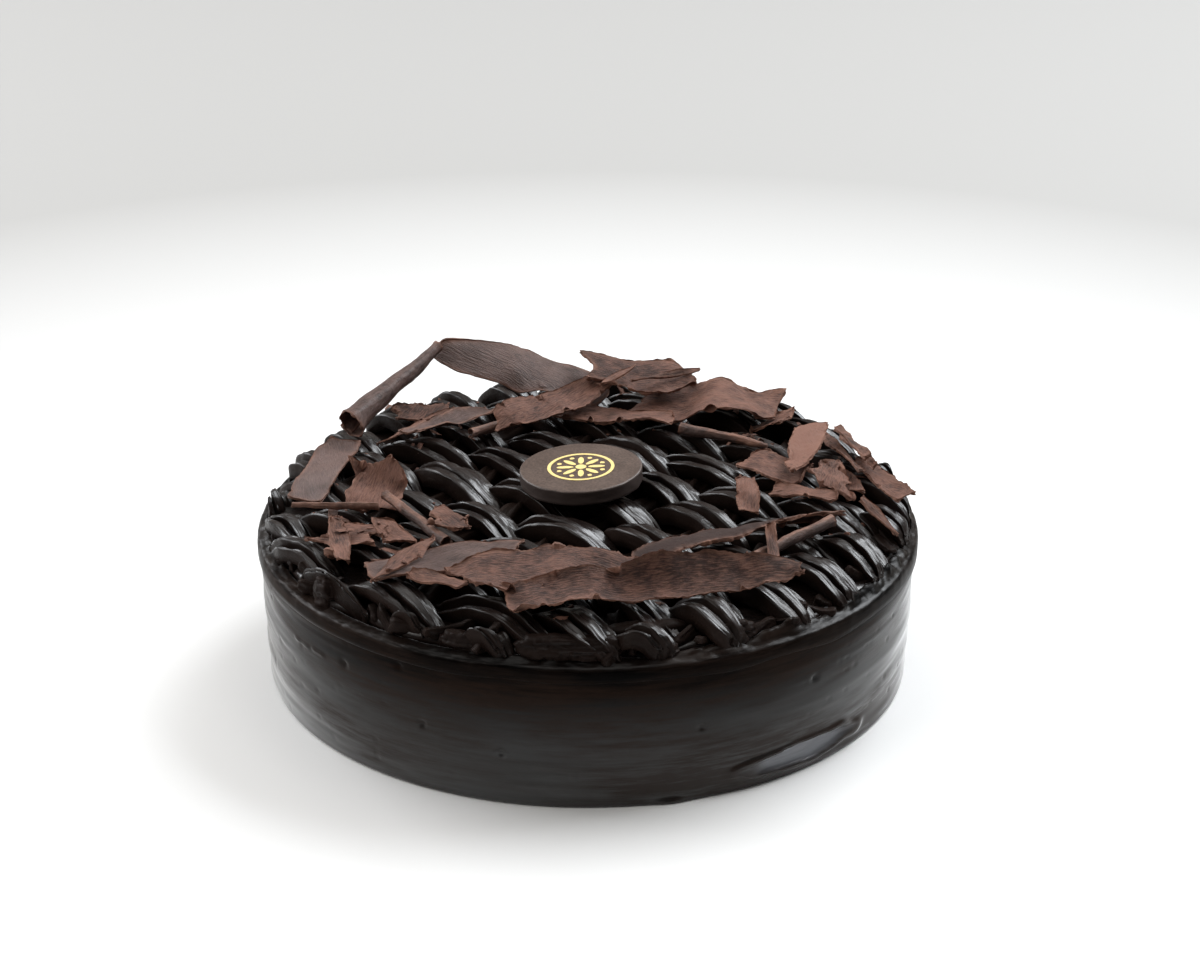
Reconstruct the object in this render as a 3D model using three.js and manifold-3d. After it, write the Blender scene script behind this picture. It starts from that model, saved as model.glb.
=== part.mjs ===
// A round chocolate cake: a smooth ganache body, a piped basket weave on top,
// a chocolate medallion and a ring of chocolate shavings.
// Millimetres, +Z up. The origin is the centre of the base.
import * as THREE from "three";
import { mergeVertices } from "three/addons/utils/BufferGeometryUtils.js";
import Module from "manifold-3d";

// Body
const BASE_RADIUS = 100;
const RIM_RADIUS = 102;
const SIDE_HEIGHT = 45;
const FOOT_ROUND = 1;
const RIM_ROUND = 1.6;
const BODY_SIDES = 72;
const ROUND_MIDDLE = 1 - Math.SQRT1_2;

// Gap kept between pieces that rest on each other
const GAP = 0.3;

// Piped basket weave: arched straps in staggered columns, with their ends sunk in a spread layer
const WEAVE_RADIUS = 100.2;
const SPREAD_RADIUS = 97;
const RIM_OVERRUN = 3;
const SPREAD_THICKNESS = 4;
const SPREAD_SLOPE = 1;
const STRAP_HEADING = -45;
const STRAP_LENGTH = 43;
const STRAP_WIDTH = 10.2;
const STRAP_WEB = 2;
const STRAP_RIDGE = 4.4;
const OUTER_RIDGE_HEIGHT = 0.9;
const OUTER_RIDGE_PLACE = 0.88;
const GROOVE_PLACE = 0.44;
const STRAP_ROOT = 0.4;
const STRAP_STEPS = 5;
const STRAP_ARCH = 8.5;
const SHORTEST_STRAP = 12;
const END_DIP = 1.2;
const ARCH_POWER = 2.6;
const END_WIDTH = 0.72;
const END_POWER = 3;
const SHORT_POWER = 0.25;
const COLUMN_PITCH = 25;
const COLUMN_START = 12;
const STRAP_PITCH = 22;
const WEAVE_COUNT = 5;
const EDGE_DROP = 0.15;
const EDGE_START = 88;

// Hand-made unevenness of the straps
const TURN_SPREAD = 14;
const PLACE_SPREAD = 3.5;
const LENGTH_SPREAD = 6;
const ARCH_SPREAD = 2;
const ROOT_SPREAD = 0.5;

// Medallion
const MEDALLION_RADIUS = 19;
const MEDALLION_THICKNESS = 4.8;
const MEDALLION_BEVEL = 0.5;
const MEDALLION_SIDES = 48;

// Shavings
const SHAVING_THICKNESS = 1;
const SHAVING_STEP = 7;
const EDGE_RAG = 0.3;
const WAVE_HEIGHT = 0.9;
const WAVE_ALONG = 6;
const WAVE_ACROSS = 3;
const END_TEETH = 6;
const END_FEATURE = 40;
const END_SKEW = 0.7;
const SKEW_FEATURE = 60;
const BROAD_FLAKE = 10;
const NARROW_FLAKE = 5;
const QUILL_STEP = 9;
const QUILL_SIDES = 8;
const QUILL_WALL = 0.8;
const QUILL_COIL = 1.3;
const QUILL_TIPS = [0.72, 0.72];
const SPIKE_DEPTH = 0.3;
const SPIKE_RAG = 0.6;
const SPIKE_TURN = 0.9;
const TURN_FEATURE = 80;

// Grid on which the pieces settle, and how far each may slide and tip to lie lower
const CELL = 0.7;
const SAMPLE = 0.6;
const GRID_HALF = 112;
const SLIDE_STEP = 1.2;
const SLIDE_LIMIT = 2.5;
const TIP_STEP = 3;
const TIP_LIMIT = 16;

// Distance within which corners are one, and the angle in radians that stands for no bend
const WELD = 1e-3;
const STRAIGHT = 1e-3;
const HALF_TURN = 180;

const rad = THREE.MathUtils.degToRad;
const wasm = await Module();
wasm.setup();

// Steady random number from 0 to 1 for a piece and a feature of it
function chance(piece, feature) {
  const wave = Math.sin(piece * 12.9898 + feature * 78.233) * 43758.5453;
  return wave - Math.floor(wave);
}

// The same, spread evenly about zero
function uneven(piece, feature, spread) {
  return (chance(piece, feature) - 0.5) * spread;
}

// Moves every vertex of a geometry by a function that changes the point it is given
function reshape(geometry, move) {
  const position = geometry.getAttribute("position");
  const point = new THREE.Vector3();
  for (let i = 0; i < position.count; i += 1) {
    point.fromBufferAttribute(position, i);
    move(point);
    position.setXYZ(i, point.x, point.y, point.z);
  }
  return geometry;
}

// Position-only copy of a geometry with its shared vertices merged
function welded(geometry) {
  const bare = geometry.clone();
  bare.deleteAttribute("normal");
  bare.deleteAttribute("uv");
  return mergeVertices(bare, WELD);
}

function solidOf(geometry) {
  const closed = welded(geometry);
  return new wasm.Manifold(new wasm.Mesh({
    numProp: 3,
    vertProperties: closed.getAttribute("position").array,
    triVerts: new Uint32Array(closed.index.array),
  }));
}

function geometryOf(solid) {
  const mesh = solid.getMesh();
  const geometry = new THREE.BufferGeometry();
  geometry.setAttribute("position", new THREE.BufferAttribute(mesh.vertProperties, 3));
  geometry.setIndex(new THREE.BufferAttribute(mesh.triVerts, 1));
  return geometry;
}

// The outer body of a solid after welding, with sealed hollows filled and loose scraps dropped
function outerBody(solid) {
  const bodies = solidOf(geometryOf(solid)).decompose();
  return bodies.reduce((largest, body) => (body.volume() > largest.volume() ? body : largest));
}

// Solid of revolution about Z from [radius, height] pairs that start and end on the axis
function turned(profile, sides) {
  const points = profile.map(([radius, height]) => new THREE.Vector2(radius, height));
  return new THREE.LatheGeometry(points, sides).rotateX(Math.PI / 2);
}

function bodyGeometry() {
  return turned([
    [0, 0],
    [BASE_RADIUS - FOOT_ROUND, 0],
    [BASE_RADIUS, FOOT_ROUND],
    [RIM_RADIUS, SIDE_HEIGHT - RIM_ROUND],
    [RIM_RADIUS - RIM_ROUND * ROUND_MIDDLE, SIDE_HEIGHT - RIM_ROUND * ROUND_MIDDLE],
    [RIM_RADIUS - RIM_ROUND, SIDE_HEIGHT],
    [0, SIDE_HEIGHT],
  ], BODY_SIDES);
}

// Piping sinks a little towards the rim
function edgeFall(radius) {
  return 1 - EDGE_DROP * THREE.MathUtils.smoothstep(radius, EDGE_START, WEAVE_RADIUS);
}

const weaveFloor = SIDE_HEIGHT + GAP;
const along = new THREE.Vector2(Math.cos(rad(STRAP_HEADING)), Math.sin(rad(STRAP_HEADING)));
const across = new THREE.Vector2(-along.y, along.x);

// Moves a point from the weave's own axes to the cake's, and drops it near the rim
function layOnTop(point, centreAlong, centreAcross, turn) {
  const s = point.x * Math.cos(turn) - point.y * Math.sin(turn) + centreAlong;
  const t = point.x * Math.sin(turn) + point.y * Math.cos(turn) + centreAcross;
  const x = along.x * s + across.x * t;
  const y = along.y * s + across.y * t;
  const z = weaveFloor + point.z * edgeFall(Math.hypot(x, y));
  point.set(x, y, z);
}

// Section of a strap as a star nozzle leaves it: a web with three ridges
function strapSection() {
  const half = STRAP_WIDTH / 2;
  const shape = new THREE.Shape();
  shape.moveTo(-half, 0);
  shape.lineTo(half, 0);
  shape.lineTo(half * OUTER_RIDGE_PLACE, STRAP_RIDGE * OUTER_RIDGE_HEIGHT);
  shape.lineTo(half * GROOVE_PLACE, STRAP_WEB);
  shape.lineTo(0, STRAP_RIDGE);
  shape.lineTo(-half * GROOVE_PLACE, STRAP_WEB);
  shape.lineTo(-half * OUTER_RIDGE_PLACE, STRAP_RIDGE * OUTER_RIDGE_HEIGHT);
  shape.closePath();
  return shape;
}

// Where a strap starts and ends along its row: its full length, or as much as the rim leaves of it
function strapSpan(piece, centreAlong, centreAcross) {
  const half = (STRAP_LENGTH + uneven(piece, 1, LENGTH_SPREAD)) / 2;
  const reach = WEAVE_RADIUS + RIM_OVERRUN;
  const chord = Math.sqrt(Math.max(0, reach ** 2 - centreAcross ** 2));
  return [Math.max(centreAlong - half, -chord), Math.min(centreAlong + half, chord)];
}

// One strap that arches up from the spread layer and dives back into it
function strapGeometry(piece, [start, end], centreAcross) {
  const length = end - start;
  const fullness = Math.min(1, length / STRAP_LENGTH) ** SHORT_POWER;
  const arch = STRAP_ARCH * fullness + uneven(piece, 2, ARCH_SPREAD);
  const turn = rad(uneven(piece, 3, TURN_SPREAD));
  const shiftAlong = (start + end) / 2 + uneven(piece, 4, PLACE_SPREAD);
  const shiftAcross = centreAcross + uneven(piece, 5, PLACE_SPREAD);
  const root = STRAP_ROOT + uneven(piece, 6, ROOT_SPREAD);
  const options = { depth: length, steps: STRAP_STEPS, bevelEnabled: false };
  const strap = new THREE.ExtrudeGeometry(strapSection(), options);
  return reshape(strap, (point) => {
    const s = point.z - length / 2;
    const share = Math.abs(2 * s / length);
    const height = arch * (1 - share ** ARCH_POWER) - END_DIP * share ** ARCH_POWER;
    const side = point.x * (1 - (1 - END_WIDTH) * share ** END_POWER);
    const up = point.y === 0 ? root : height + point.y;
    point.set(s, side, up);
    layOnTop(point, shiftAlong, shiftAcross, turn);
  });
}

function spreadGeometry() {
  return turned([
    [0, weaveFloor],
    [SPREAD_RADIUS, weaveFloor],
    [SPREAD_RADIUS - SPREAD_SLOPE, weaveFloor + SPREAD_THICKNESS],
    [0, weaveFloor + SPREAD_THICKNESS],
  ], BODY_SIDES);
}

// Space inside the rim that the piping may fill
function weaveSpace() {
  const top = SIDE_HEIGHT * 2;
  return turned([[0, 0], [WEAVE_RADIUS, 0], [WEAVE_RADIUS, top], [0, top]], BODY_SIDES);
}

function weaveGeometry() {
  const strokes = [solidOf(spreadGeometry())];
  for (let column = -WEAVE_COUNT; column <= WEAVE_COUNT; column += 1) {
    const centreAlong = COLUMN_START + column * COLUMN_PITCH;
    const stagger = column % 2 === 0 ? 0 : STRAP_PITCH / 2;
    for (let row = -WEAVE_COUNT; row <= WEAVE_COUNT; row += 1) {
      const centreAcross = row * STRAP_PITCH + stagger;
      const piece = (column + WEAVE_COUNT) * (2 * WEAVE_COUNT + 1) + row + WEAVE_COUNT;
      const span = strapSpan(piece, centreAlong, centreAcross);
      if (span[1] - span[0] > SHORTEST_STRAP) {
        strokes.push(solidOf(strapGeometry(piece, span, centreAcross)));
      }
    }
  }
  const weave = wasm.Manifold.union(strokes).intersect(solidOf(weaveSpace()));
  return geometryOf(outerBody(weave));
}

function medallionGeometry() {
  const half = MEDALLION_THICKNESS / 2;
  return turned([
    [0, -half],
    [MEDALLION_RADIUS - MEDALLION_BEVEL, -half],
    [MEDALLION_RADIUS, MEDALLION_BEVEL - half],
    [MEDALLION_RADIUS, half - MEDALLION_BEVEL],
    [MEDALLION_RADIUS - MEDALLION_BEVEL, half],
    [0, half],
  ], MEDALLION_SIDES);
}

// Twists a point about the length axis and bends it along an arc, t being its share of the length
function twistAndBend(point, t, length, twist, bend) {
  const spin = rad(twist) * (t - 0.5);
  const side = point.y * Math.cos(spin) - point.z * Math.sin(spin);
  const up = point.y * Math.sin(spin) + point.z * Math.cos(spin);
  const radius = length / (rad(bend) || STRAIGHT);
  const sweep = point.x / radius;
  point.set((radius + up) * Math.sin(sweep), side, (radius + up) * Math.cos(sweep) - radius);
}

// A flake: a thin sheet with an uneven outline and slanting ends, curled across its width.
// rag scales the unevenness and sway bows the flake sideways.
function flakeGeometry(piece, flake) {
  const { size, curl = 0, bend = 0, twist = 0, taper = [0.85, 0.8], rag = 1, sway = 0 } = flake;
  const [length, width] = size;
  const lengthSteps = Math.max(2, Math.round(length / SHAVING_STEP));
  const broadSteps = width > BROAD_FLAKE ? 3 : 2;
  const widthSteps = width > NARROW_FLAKE ? broadSteps : 1;
  const sheet = new THREE.BoxGeometry(length, width, SHAVING_THICKNESS, lengthSteps, widthSteps, 1);
  const curlRadius = width / (rad(curl) || STRAIGHT);
  return reshape(sheet, (point) => {
    const t = point.x / length + 0.5;
    const side = point.y / width;
    const station = Math.round(t * lengthSteps);
    const edge = 1 + rag * uneven(piece, 2 * station + (side > 0 ? 1 : 0), EDGE_RAG);
    const waist = t < 0.5 ? taper[0] : taper[1];
    const narrowing = waist + (1 - waist) * Math.sqrt(Math.sin(Math.PI * t));
    const tooth = uneven(piece, END_FEATURE + Math.round(side * END_TEETH), EDGE_RAG * width);
    const slant = side * uneven(piece, SKEW_FEATURE + Math.round(t), END_SKEW * width);
    const x = point.x + rag * (tooth + slant) * Math.abs(2 * t - 1) ** END_POWER;
    const angle = point.y * narrowing * edge / curlRadius;
    const wave = WAVE_HEIGHT * Math.sin(WAVE_ALONG * t + WAVE_ACROSS * side + piece);
    const radius = curlRadius - point.z;
    point.set(x, radius * Math.sin(angle), curlRadius - radius * Math.cos(angle) + wave);
    twistAndBend(point, t, length, twist, bend);
    point.y += sway * (1 - (2 * t - 1) ** 2);
  });
}

// A jagged flake: a thin sheet whose outline runs out to broken points
function jaggedGeometry(piece, { size, spikes }) {
  const corners = 2 * spikes;
  const sheet = new THREE.CylinderGeometry(0.5, 0.5, SHAVING_THICKNESS, corners, 1).rotateX(Math.PI / 2);
  return reshape(sheet, (point) => {
    const turn = Math.atan2(point.y, point.x) / (2 * Math.PI);
    const corner = Math.round((turn + 1) * corners) % corners;
    const notch = corner % 2 === 0 ? 0 : SPIKE_DEPTH;
    const reach = Math.hypot(point.x, point.y) * (1 - notch + uneven(piece, corner, SPIKE_RAG));
    const angle = 2 * Math.PI * (corner + uneven(piece, TURN_FEATURE + corner, SPIKE_TURN)) / corners;
    const wave = WAVE_HEIGHT * Math.sin(WAVE_ALONG * point.x + WAVE_ACROSS * point.y + piece);
    point.set(reach * size[0] * Math.cos(angle), reach * size[1] * Math.sin(angle), point.z + wave);
  });
}

// A quill: a sheet rolled up into a loose scroll. Its size is the length and the outside diameter,
// and tips are the shares of that diameter at its ends.
function quillGeometry({ size, curl, bend = 0, tips = QUILL_TIPS }) {
  const [length, diameter] = size;
  const lengthSteps = Math.max(2, Math.round(length / QUILL_STEP));
  const sheet = new THREE.BoxGeometry(length, 1, QUILL_WALL, lengthSteps, QUILL_SIDES, 1);
  const innerRadius = diameter / 2 - QUILL_WALL / 2 - QUILL_COIL * curl / 360;
  return reshape(sheet, (point) => {
    const t = point.x / length + 0.5;
    const angle = rad(curl) * (point.y + 0.5);
    const radius = innerRadius + QUILL_COIL * angle / (2 * Math.PI) - point.z;
    const bulge = (1 - Math.max(...tips)) * Math.sqrt(Math.sin(Math.PI * t));
    const swell = THREE.MathUtils.lerp(...tips, t) + bulge;
    const middle = diameter / 2;
    point.set(point.x, swell * radius * Math.sin(angle), middle - swell * radius * Math.cos(angle));
    twistAndBend(point, t, length, 0, bend);
  });
}

// Heights of everything laid so far, kept on a grid
const gridSide = Math.ceil(2 * GRID_HALF / CELL);
const heights = new Float32Array(gridSide * gridSide).fill(0);

function cellOf(coordinate) {
  const cell = Math.floor((coordinate + GRID_HALF) / CELL);
  return THREE.MathUtils.clamp(cell, 1, gridSide - 2);
}

// Calls visit with points spread closely over every face of a mesh
function eachSample(mesh, visit) {
  mesh.updateMatrixWorld(true);
  const geometry = welded(mesh.geometry).applyMatrix4(mesh.matrixWorld);
  const position = geometry.getAttribute("position");
  const corners = [new THREE.Vector3(), new THREE.Vector3(), new THREE.Vector3()];
  const point = new THREE.Vector3();
  const [a, b, c] = corners;
  for (let face = 0; face < geometry.index.count; face += 3) {
    corners.forEach((corner, i) => corner.fromBufferAttribute(position, geometry.index.getX(face + i)));
    const longest = Math.max(a.distanceTo(b), b.distanceTo(c), c.distanceTo(a));
    const parts = Math.ceil(longest / SAMPLE);
    for (let i = 0; i <= parts; i += 1) {
      for (let j = 0; j <= parts - i; j += 1) {
        const k = parts - i - j;
        point.set(0, 0, 0);
        point.addScaledVector(a, k / parts).addScaledVector(b, i / parts).addScaledVector(c, j / parts);
        visit(point);
      }
    }
  }
}

// Records a laid mesh in the grid, a cell wider all round
function record(mesh) {
  eachSample(mesh, (point) => {
    const column = cellOf(point.x);
    const row = cellOf(point.y);
    for (let dx = -1; dx <= 1; dx += 1) {
      for (let dy = -1; dy <= 1; dy += 1) {
        const index = (row + dy) * gridSide + column + dx;
        heights[index] = Math.max(heights[index], point.z);
      }
    }
  });
}

// How far a mesh must rise to rest on what is laid below it
function liftOf(mesh) {
  let lift = -Infinity;
  eachSample(mesh, (point) => {
    const below = heights[cellOf(point.y) * gridSide + cellOf(point.x)];
    lift = Math.max(lift, below + GAP - point.z);
  });
  return lift;
}

// Puts a mesh at a pose on the pile and gives its height there
function place(mesh, { x, y, heading, pitch, roll }) {
  mesh.rotation.set(rad(roll), -rad(pitch), rad(heading), "ZYX");
  mesh.position.set(x, y, 0);
  mesh.position.z = liftOf(mesh);
  return mesh.position.z;
}

// Lowers a mesh onto the pile. It slides and tips by small steps as long as it then lies lower.
function settle(mesh, { at, heading = 0, pitch = 0, roll = 0, firm = false }) {
  const start = { x: at[0], y: at[1], heading, pitch, roll };
  const slides = ["x", "y"].map((key) => [key, SLIDE_STEP, SLIDE_LIMIT]);
  const tips = ["pitch", "roll"].map((key) => [key, TIP_STEP, TIP_LIMIT]);
  const moves = firm ? [] : [...slides, ...tips];
  let pose = start;
  let height = place(mesh, pose);
  let moved = true;
  while (moved) {
    moved = false;
    for (const [key, step, limit] of [...moves, ...moves.map(([k, s, l]) => [k, -s, l])]) {
      const trial = { ...pose, [key]: pose[key] + step };
      const within = Math.abs(trial[key] - start[key]) <= limit;
      const trialHeight = within ? place(mesh, trial) : Infinity;
      if (trialHeight < height) {
        [pose, height, moved] = [trial, trialHeight, true];
      }
    }
  }
  place(mesh, pose);
  record(mesh);
}

// The shavings, from the lowest to the highest. at is the middle in plan, heading the way the length
// runs, pitch lifts its far end and roll its left side. size is the length and the width, or a quill's
// diameter. spikes makes a jagged flake. firm keeps the pose as given. Angles are in degrees.
const SHAVINGS = [
  { name: "left_flat_flake", at: [-80, 9], heading: 77, pitch: 6, size: [44, 13], bend: 8, rag: 0.3 },
  { name: "left_ragged_flake", at: [-73, -43], heading: 6, roll: 12, size: [25, 24], spikes: 6 },
  { name: "left_upright_flake", at: [-64, -17], heading: 14, roll: 34, size: [28, 26], spikes: 6,
    firm: true },
  { name: "left_ragged_strip", at: [-71, -44], heading: -80, pitch: -14, size: [23, 6], curl: 30 },
  { name: "left_ragged_sliver", at: [-60, -42], heading: -66, pitch: -12, size: [20, 11], spikes: 5 },
  { name: "left_quill", at: [-76, -27], size: [27, 5], curl: 420, tips: [0.5, 0.9], firm: true },
  { name: "left_thick_quill", at: [-54, -37], heading: -50, pitch: -4, size: [31, 6.4], curl: 430,
    tips: [0.7, 0.95] },
  { name: "left_small_flake", at: [-43, -36], heading: -18, roll: 10, size: [17, 14], spikes: 6 },
  { name: "front_left_flake", at: [-40, -58], heading: 17, roll: 4, size: [47, 15], taper: [0.9, 0.3],
    rag: 0.5 },
  { name: "front_left_splinter", at: [-51, -63], heading: 58, pitch: 8, size: [33, 4.5],
    taper: [0.2, 0.5] },
  { name: "front_back_flake", at: [-9, -74], heading: 7, roll: 20, size: [56, 21], bend: 14, curl: -24 },
  { name: "front_thin_strip", at: [-41, -74], heading: -34, roll: 10, size: [20, 4.5] },
  { name: "right_dark_quill", at: [61, -49], heading: 41, size: [40, 6.6], curl: 420, tips: [0.6, 0.85] },
  { name: "right_small_stick", at: [52, -54], heading: -88, pitch: -20, size: [20, 4] },
  { name: "right_jagged_chip", at: [44, -66], heading: 120, pitch: 14, size: [16, 10], spikes: 5 },
  { name: "front_long_flake", at: [20, -79], heading: 12, roll: 30, size: [86, 13], bend: 4, curl: -30,
    taper: [1.1, 0.35], firm: true },
  { name: "right_curled_strip", at: [46, -45], heading: 24, roll: -14, size: [68, 10], twist: -60,
    curl: 30, taper: [0.5, 0.5], sway: 5 },
  { name: "right_lone_flake", at: [49, -14], heading: -88, pitch: -24, size: [15, 8], firm: true },
  { name: "right_near_flake", at: [65, -11], heading: -24, roll: 8, size: [21, 6] },
  { name: "right_flat_flake", at: [57, 11], heading: -52, roll: 6, size: [26, 13], curl: 16 },
  { name: "right_edge_flake", at: [89, 4], heading: -66, pitch: -6, size: [32, 8], taper: [0.3, 0.9],
    rag: 0.5 },
  { name: "right_behind_flake", at: [78, 8], heading: -72, pitch: -4, size: [25, 9], taper: [0.5, 0.9] },
  { name: "right_ragged_flake", at: [73, -3], heading: -66, pitch: -6, size: [24, 15], spikes: 6 },
  { name: "right_short_stick", at: [86, -19], heading: -52, pitch: -8, size: [18, 3.5] },
  { name: "right_inner_stick", at: [79, 17], heading: -78, pitch: -2, size: [44, 3.2], curl: 40 },
  { name: "right_edge_stick", at: [83, 19], heading: -80, pitch: -3, size: [42, 3.2], curl: 40 },
  { name: "right_outer_stick", at: [86, 18], heading: -77, pitch: -3, size: [34, 3.6], curl: 30 },
  { name: "right_wedge", at: [70, 15], heading: 78, pitch: 14, size: [40, 11], taper: [0.12, 1], rag: 0.1 },
  { name: "back_right_quill", at: [46, 38], heading: -22, size: [30, 7], curl: 430, tips: [0.85, 0.25] },
  { name: "back_right_chip", at: [63, 54], heading: 39, size: [20, 14], spikes: 6 },
  { name: "back_right_flake", at: [40, 61], heading: -14, roll: 18, size: [46, 24], bend: 12, curl: -20,
    taper: [0.35, 0.9] },
  { name: "back_middle_flake", at: [9, 53], heading: -17, roll: 10, size: [42, 12], curl: -20,
    taper: [0.3, 0.8] },
  { name: "back_left_under_flake", at: [-57, 61], heading: 50, roll: 6, size: [24, 12], spikes: 6 },
  { name: "back_left_sliver", at: [-58, 46], heading: 46, pitch: 3, size: [36, 3.6], taper: [0.2, 0.6] },
  { name: "back_left_half_quill", at: [-47, 45], heading: 50, pitch: 3, size: [40, 9], curl: 140 },
  { name: "back_left_roll", at: [-33, 47], heading: 40, size: [20, 6], curl: 400, tips: [0.8, 0.9] },
  { name: "arch_quill", at: [-61.5, 52.5], heading: 52, pitch: 16, size: [46, 12.5], curl: 430,
    tips: [1, 0.35], firm: true },
  { name: "arch_sheet", at: [-17, 69], heading: 0, pitch: -14, roll: 26, size: [50, 18], bend: 12,
    curl: -24, taper: [0.25, 0.9], rag: 0.7, firm: true },
  { name: "back_long_flake", at: [-13, 56], heading: 32, roll: 8, pitch: 3, size: [46, 12], curl: -20,
    taper: [0.7, 0.3] },
  { name: "back_top_flake", at: [14, 71], heading: -4, roll: 24, size: [35, 19], curl: -16,
    taper: [0.8, 0.45], rag: 1.3 },
  { name: "back_dark_stick", at: [23, 67], heading: 30, pitch: 6, size: [27, 2.4] },
  { name: "back_fork_stick", at: [8, 61], heading: 48, pitch: 6, size: [18, 2.4] },
];

function ganache(colour, roughness) {
  return new THREE.MeshStandardMaterial({ color: colour, roughness, metalness: 0 });
}

const cake = new THREE.Group();

function addPiece(name, geometry, material) {
  const mesh = new THREE.Mesh(geometry, material);
  mesh.name = name;
  cake.add(mesh);
  return mesh;
}

const bodyMesh = addPiece("cake_body", bodyGeometry(), ganache(0x1c1513, 0.35));
record(bodyMesh);
const weaveMesh = addPiece("piped_weave", weaveGeometry(), ganache(0x15100f, 0.3));
record(weaveMesh);
const medallionMesh = addPiece("medallion", medallionGeometry(), ganache(0x2a1d19, 0.5));
settle(medallionMesh, { at: [-2, -1], pitch: 2.5, firm: true });

SHAVINGS.forEach((shaving, index) => {
  const sheet = shaving.spikes ? jaggedGeometry : flakeGeometry;
  const rolled = shaving.curl > HALF_TURN;
  const geometry = rolled ? quillGeometry(shaving) : sheet(index, shaving);
  const mesh = addPiece(`shaving_${shaving.name}`, geometry, ganache(0x3a2721, 0.7));
  settle(mesh, shaving);
});

export default cake;
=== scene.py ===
"""A round chocolate cake: ganache body, piped basket weave, medallion and chocolate shavings."""
from math import cos, floor, pi, radians, sin, sqrt

import bmesh
import bpy
import numpy as np
from mathutils import Matrix, Vector
from mathutils.bvhtree import BVHTree
from mathutils.kdtree import KDTree


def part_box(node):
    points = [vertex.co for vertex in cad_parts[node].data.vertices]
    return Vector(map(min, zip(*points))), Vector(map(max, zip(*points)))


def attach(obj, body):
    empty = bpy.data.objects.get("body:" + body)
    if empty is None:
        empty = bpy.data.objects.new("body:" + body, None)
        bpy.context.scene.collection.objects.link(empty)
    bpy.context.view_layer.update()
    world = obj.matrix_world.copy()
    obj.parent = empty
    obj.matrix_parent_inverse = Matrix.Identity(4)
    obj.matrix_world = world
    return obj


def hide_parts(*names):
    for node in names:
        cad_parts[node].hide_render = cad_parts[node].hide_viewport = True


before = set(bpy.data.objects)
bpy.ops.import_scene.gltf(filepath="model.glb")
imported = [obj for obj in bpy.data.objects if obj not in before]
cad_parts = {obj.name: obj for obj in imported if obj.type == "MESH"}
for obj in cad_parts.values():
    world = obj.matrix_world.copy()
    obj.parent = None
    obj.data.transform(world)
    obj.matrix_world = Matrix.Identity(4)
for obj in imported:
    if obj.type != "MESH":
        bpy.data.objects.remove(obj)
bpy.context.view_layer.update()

# Sizes below are in millimetres and angles in degrees, in the frame of the CAD model
MM = 0.001

# Body
BASE_RADIUS = 100
RIM_RADIUS = 102
SIDE_HEIGHT = 45
FOOT_ROUND = 1
RIM_ROUND = 1.6
SHELF_RADII = [99.5, 98, 95, 90]
LIP_RISE = 0.45
BODY_SIDES = 660
SIDE_RINGS = 70

# Unevenness of each surface, as waves of a height, a size of bumps and a seed
SIDE_WAVES = [(0.5, (55, 55, 28), 1), (0.3, (38, 38, 5), 2), (0.12, (15, 15, 1.7), 3)]
LIP_WAVES = [(0.55, (14, 14, 60), 4), (0.25, (4, 4, 60), 5)]
SPREAD_WAVES = [(0.7, (8, 8, 60), 7), (0.35, (3, 3, 60), 8)]
MEDALLION_WAVES = [(0.16, (3, 3, 1.4), 9), (0.1, (9, 9, 3), 10)]
FILM_WAVES = [(0.45, (11, 11, 60), 13), (0.5, (3.4, 3.4, 60), 14)]
FILM_ROUGHNESS = [(0.6, 3.4, 16), (0.35, 1.3, 17)]
LUMP_WAVES = [(0.5, (6, 6, 3), 0), (0.5, (7, 3, 0.9), 1), (0.35, 1.2, 2)]
TEAR_WAVES = [(0.6, 7, 0), (0.55, 2.4, 50), (0.3, 0.9, 70)]
PORE_DEPTH = 0.7
LUMP_PIT_DEPTH = 1.5
NOTCH_DEPTH = 5

# Piped basket weave, laid out as in the CAD model
GAP = 0.3
WEAVE_RADIUS = 100.2
RIM_OVERRUN = 3
STRAP_HEADING = -45
STRAP_LENGTH = 43
STRAP_ARCH = 8.5
SHORTEST_STRAP = 12
END_DIP = 1.2
END_WIDTH = 0.72
END_POWER = 3
SHORT_POWER = 0.25
COLUMN_PITCH = 25
COLUMN_START = 12
STRAP_PITCH = 22
WEAVE_COUNT = 5
EDGE_DROP = 0.15
EDGE_START = 88
TURN_SPREAD = 14
PLACE_SPREAD = 3.5
LENGTH_SPREAD = 6
ARCH_SPREAD = 2
WEAVE_FLOOR = SIDE_HEIGHT + GAP
RIM_SQUEEZE = 3.5

# Section of a strap: three bands, each undercut in front, with drag lines on top and a hollow behind it.
# RIDGE_PROFILE is a place across a band and its share of the height from the hollow to the crest
RIDGE_PITCH = 4.8
RIDGE_TOPS = [3.7, 4.5, 1.2]
FLUTE_FLOOR = -1.7
RIDGE_PROFILE = [(-1.1, -0.05), (-1.65, 0.45), (-2, 0.9), (-1.92, 1.05), (-1.6, 0.98), (-1.1, 0.92),
                 (-0.65, 0.96), (-0.2, 0.89), (0.3, 0.94), (0.8, 0.88), (1.25, 0.93), (1.7, 0.9), (2.1, 0.2)]
FLANK_UNDERCUT = 3.4
END_TILT = 1.3
STRAP_FLANK = 1.3
STRAP_BODY = 3.4
STRAP_RINGS = 33
RIDGE_SLIP = 0.16
RIDGE_SPREAD = 0.5
LEAN_SPREAD = 0.6
STRAP_POWER = 2.1
STRAP_WOBBLE = 0.45
STRAP_STRAND = 0.35
STRAP_TATTER = 0.8

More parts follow.
